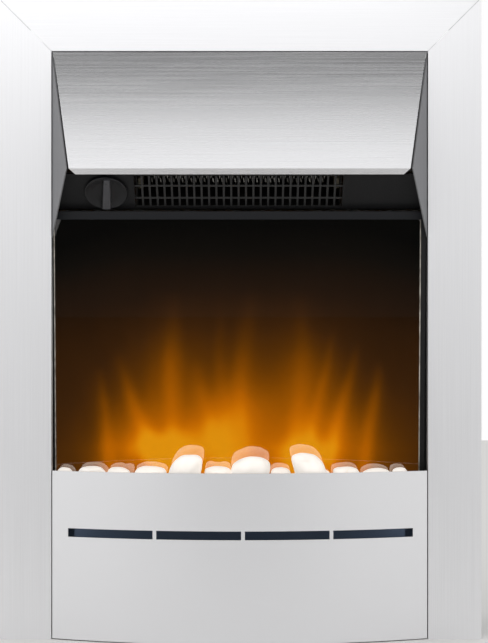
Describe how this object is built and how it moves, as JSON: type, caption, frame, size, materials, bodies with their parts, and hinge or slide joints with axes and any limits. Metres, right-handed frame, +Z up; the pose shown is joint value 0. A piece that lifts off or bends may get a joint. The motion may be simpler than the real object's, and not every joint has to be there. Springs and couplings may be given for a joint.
{
  "type": "inset electric fire",
  "caption": "Inset electric fan heater fire with a mitred steel trim, canopy, sloped control panel with knob and outlet, flame screen, pebble bed and bowed slotted fret.",
  "frame": {"origin": "on the hearth, at the centre of the width, in the plane of the wall that the trim stands against", "axes": "+Z up, +Y back into the wall opening, +X to the right of someone who faces the fire"},
  "size_m": [0.485, 0.192, 0.6435],
  "materials": {
    "trim_steel": "satin, brushed",
    "zinc_steel": "zinc-plated sheet",
    "black_paint": "satin black powder coat",
    "blue_paint": "dark blue-grey powder coat",
    "black_plastic": "fine matt",
    "grey_plastic": "matt",
    "smoked_glass": "smoked, polished",
    "flame_film": "printed film, lit from behind",
    "resistance_wire": "bright drawn wire",
    "mica": "matt",
    "white_pebble": "tumbled, matt",
    "circuit_board": "solder mask"
  },
  "bodies": {
    "fire": {"frame_left_upright": "trim_steel", "frame_right_upright": "trim_steel", "frame_top_rail": "trim_steel", "hood_panel": "trim_steel", "hood_left_cheek": "trim_steel", "hood_right_cheek": "trim_steel", "fret_panel": "trim_steel", "corner_bracket_left": "zinc_steel", "corner_bracket_right": "zinc_steel", "trim_clip_left": "zinc_steel", "trim_clip_right": "zinc_steel", "console_bracket_left": "zinc_steel", "console_bracket_right": "zinc_steel", "heater_duct": "zinc_steel", "fan_housing": "zinc_steel", "fan_motor": "zinc_steel", "flame_mask": "zinc_steel", "fret_bracket_left": "zinc_steel", "fret_bracket_right": "zinc_steel", "casing_base": "zinc_steel", "casing_back": "zinc_steel", "casing_left_side": "zinc_steel", "casing_right_side": "zinc_steel", "casing_top": "zinc_steel", "spindle_motor": "zinc_steel", "control_panel": "black_paint", "outlet_guard": "black_paint", "screen_channel_left": "black_paint", "screen_channel_right": "black_paint", "screen_sill": "black_paint", "screen_header": "black_paint", "pebble_tray": "black_paint", "air_baffle": "blue_paint", "spindle_bush": "black_plastic", "cable_gland": "black_plastic", "selector_switch": "grey_plastic", "fan_bush": "grey_plastic", "terminal_block": "grey_plastic", "viewing_glass": "smoked_glass", "flame_diffuser": "flame_film", "heating_coil": "resistance_wire", "element_card": "mica", "thermal_cutout": "mica", "pebble_01": "white_pebble", "pebble_02": "white_pebble", "pebble_03": "white_pebble", "pebble_04": "white_pebble", "pebble_05": "white_pebble", "pebble_06": "white_pebble", "pebble_07": "white_pebble", "pebble_08": "white_pebble", "pebble_09": "white_pebble", "pebble_10": "white_pebble", "pebble_11": "white_pebble", "pebble_12": "white_pebble", "led_board": "circuit_board"},
    "knob": {"control_knob": "black_plastic", "selector_shaft": "zinc_steel"},
    "impeller": {"fan_impeller": "black_plastic"},
    "spindle": {"flame_spindle": "zinc_steel"}
  },
  "joints": [
    {"name": "knob_turn", "type": "hinge", "parent": "fire", "child": "knob", "pos_m": [-0.1333, -0.02997, 0.44872], "axis": [0, 0.6561, 0.7547], "range_deg": [0, 135]},
    {"name": "fan_spin", "type": "hinge", "parent": "fire", "child": "impeller", "pos_m": [0, 0.02443, 0.51008], "axis": [1, 0, 0], "continuous": true},
    {"name": "spindle_spin", "type": "hinge", "parent": "fire", "child": "spindle", "pos_m": [0, 0.062, 0.128], "axis": [1, 0, 0], "continuous": true}
  ]
}
